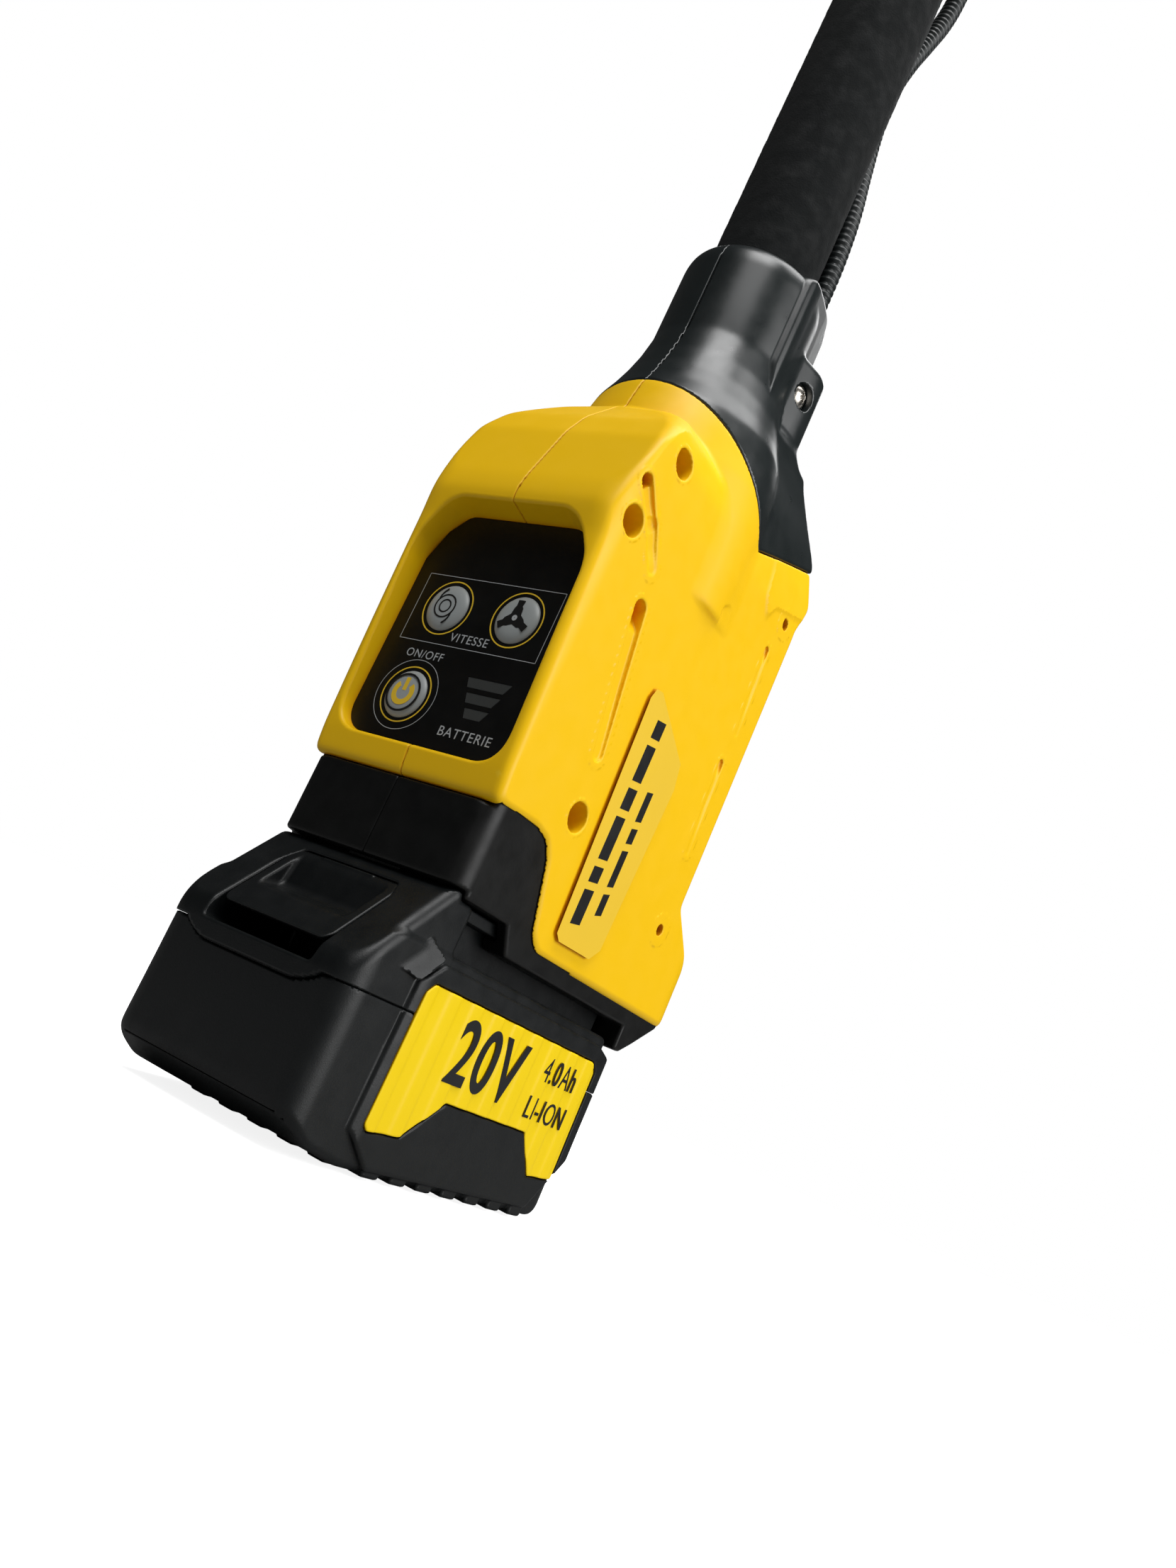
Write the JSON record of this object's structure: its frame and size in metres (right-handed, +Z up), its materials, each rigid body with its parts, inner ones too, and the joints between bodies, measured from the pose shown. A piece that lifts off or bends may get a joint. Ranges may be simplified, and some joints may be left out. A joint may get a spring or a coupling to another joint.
{
  "type": "cordless garden cutter power head",
  "caption": "Yellow and black battery power head with a slide-on battery, latch, push-button panel, brushless motor, and a foam-covered drive tube with a rotating drive shaft and cable conduit.",
  "frame": {"origin": "on the drive shaft's axis, in the plane of the battery's underside", "axes": "+Z up the drive shaft and tube, -Y towards the control panel and the battery latch, +X towards the side with the label"},
  "size_m": [0.0762, 0.1565, 0.56],
  "materials": {
    "housing_yellow": "semi-gloss moulded plastic",
    "neck_black": "satin moulded plastic",
    "seat_black": "matte moulded plastic",
    "battery_black": "fine-grained moulded plastic",
    "battery_yellow": "semi-gloss moulded plastic",
    "panel_black": "satin film",
    "button_grey": "satin film over a dome",
    "clear_grey": "translucent diffuser",
    "label_film": "clear film with dark print",
    "board_green": "solder-masked board",
    "component_black": "epoxy",
    "capacitor_blue": "printed sleeve",
    "lead_red": "wire insulation",
    "lead_orange": "wire insulation",
    "brass": "stamped contact",
    "steel": "ground steel",
    "nickel_screw": "nickel-plated steel",
    "aluminium": "die-cast",
    "laminations": "stacked laminations",
    "magnet": "nickel-plated magnet",
    "copper": "enamelled winding",
    "fan_black": "glass-filled nylon",
    "bush_tan": "oil-filled bush",
    "tube_black": "powder-coated aluminium tube",
    "foam_black": "closed-cell foam",
    "conduit_black": "ribbed nylon",
    "cell_green": "heat-shrink cell sleeve",
    "holder_ivory": "moulded holder"
  },
  "bodies": {
    "housing": {"shell_right": "housing_yellow", "shell_left": "housing_yellow", "shell_screws": "nickel_screw", "seat_right": "seat_black", "seat_left": "seat_black", "terminal_block": "component_black", "terminal_blades": "brass", "power_leads": "lead_red", "panel_plate": "panel_black", "gauge_lens": "clear_grey", "panel_board": "board_green", "panel_switches": "nickel_screw", "gauge_leds": "clear_grey", "controller_board": "board_green", "controller_heatsink": "aluminium", "controller_mosfets": "component_black", "controller_capacitors": "capacitor_blue", "motor_rear_bracket": "aluminium", "motor_front_bracket": "aluminium", "motor_stator": "laminations", "motor_coils": "copper", "motor_leads": "lead_orange", "rear_bearing_outer": "steel", "front_bearing_outer": "steel", "shaft_bushes": "bush_tan", "drive_tube": "tube_black", "foam_sleeve": "foam_black", "neck_right": "neck_black", "neck_left": "neck_black", "neck_screw": "nickel_screw", "trigger_cable": "component_black", "cable_conduit": "conduit_black", "cable_plug": "seat_black", "side_label": "label_film"},
    "rotor": {"rotor_core": "laminations", "rotor_magnets": "magnet", "motor_shaft": "steel", "cooling_fan": "fan_black", "rear_bearing_inner": "steel", "front_bearing_inner": "steel", "shaft_coupling": "steel", "drive_shaft": "steel"},
    "bearing_balls": {"rear_bearing_balls": "steel", "front_bearing_balls": "steel"},
    "battery": {"battery_lower_case": "battery_black", "battery_upper_case": "battery_black", "battery_inlay_right": "battery_yellow", "battery_inlay_left": "battery_yellow", "battery_screws": "nickel_screw", "battery_cells": "cell_green", "cell_holders": "holder_ivory", "cell_links": "nickel_screw", "battery_board": "board_green", "battery_contacts": "brass", "latch_spring": "steel"},
    "latch": {"battery_latch": "battery_black"},
    "power_button": {"power_button": "button_grey"},
    "line_speed_button": {"line_speed_button": "button_grey"},
    "blade_speed_button": {"blade_speed_button": "button_grey"}
  },
  "joints": [
    {"name": "battery_slide", "type": "slide", "parent": "housing", "child": "battery", "axis": [0, -1, 0], "range_m": [0, 0.11]},
    {"name": "latch_press", "type": "slide", "parent": "battery", "child": "latch", "axis": [0, 0, -1], "range_m": [0, 0.005], "stiffness_N_per_m": 900, "springref_m": -0.002, "deforming": ["latch_spring"]},
    {"name": "power_press", "type": "slide", "parent": "housing", "child": "power_button", "axis": [0, 1, 0], "range_m": [0, 0.0006], "stiffness_N_per_m": 40, "springref_m": -0.003},
    {"name": "line_speed_press", "type": "slide", "parent": "housing", "child": "line_speed_button", "axis": [0, 1, 0], "range_m": [0, 0.0006], "stiffness_N_per_m": 40, "springref_m": -0.003},
    {"name": "blade_speed_press", "type": "slide", "parent": "housing", "child": "blade_speed_button", "axis": [0, 1, 0], "range_m": [0, 0.0006], "stiffness_N_per_m": 40, "springref_m": -0.003},
    {"name": "rotor_spin", "type": "hinge", "parent": "housing", "child": "rotor", "pos_m": [0, 0, 0.3], "axis": [0, 0, 1], "continuous": true},
    {"name": "ball_orbit", "type": "hinge", "parent": "housing", "child": "bearing_balls", "pos_m": [0, 0, 0.168], "axis": [0, 0, 1], "continuous": true}
  ],
  "couplings": [
    {"joint": "ball_orbit", "follows": "rotor_spin", "ratio": 0.3687}
  ]
}
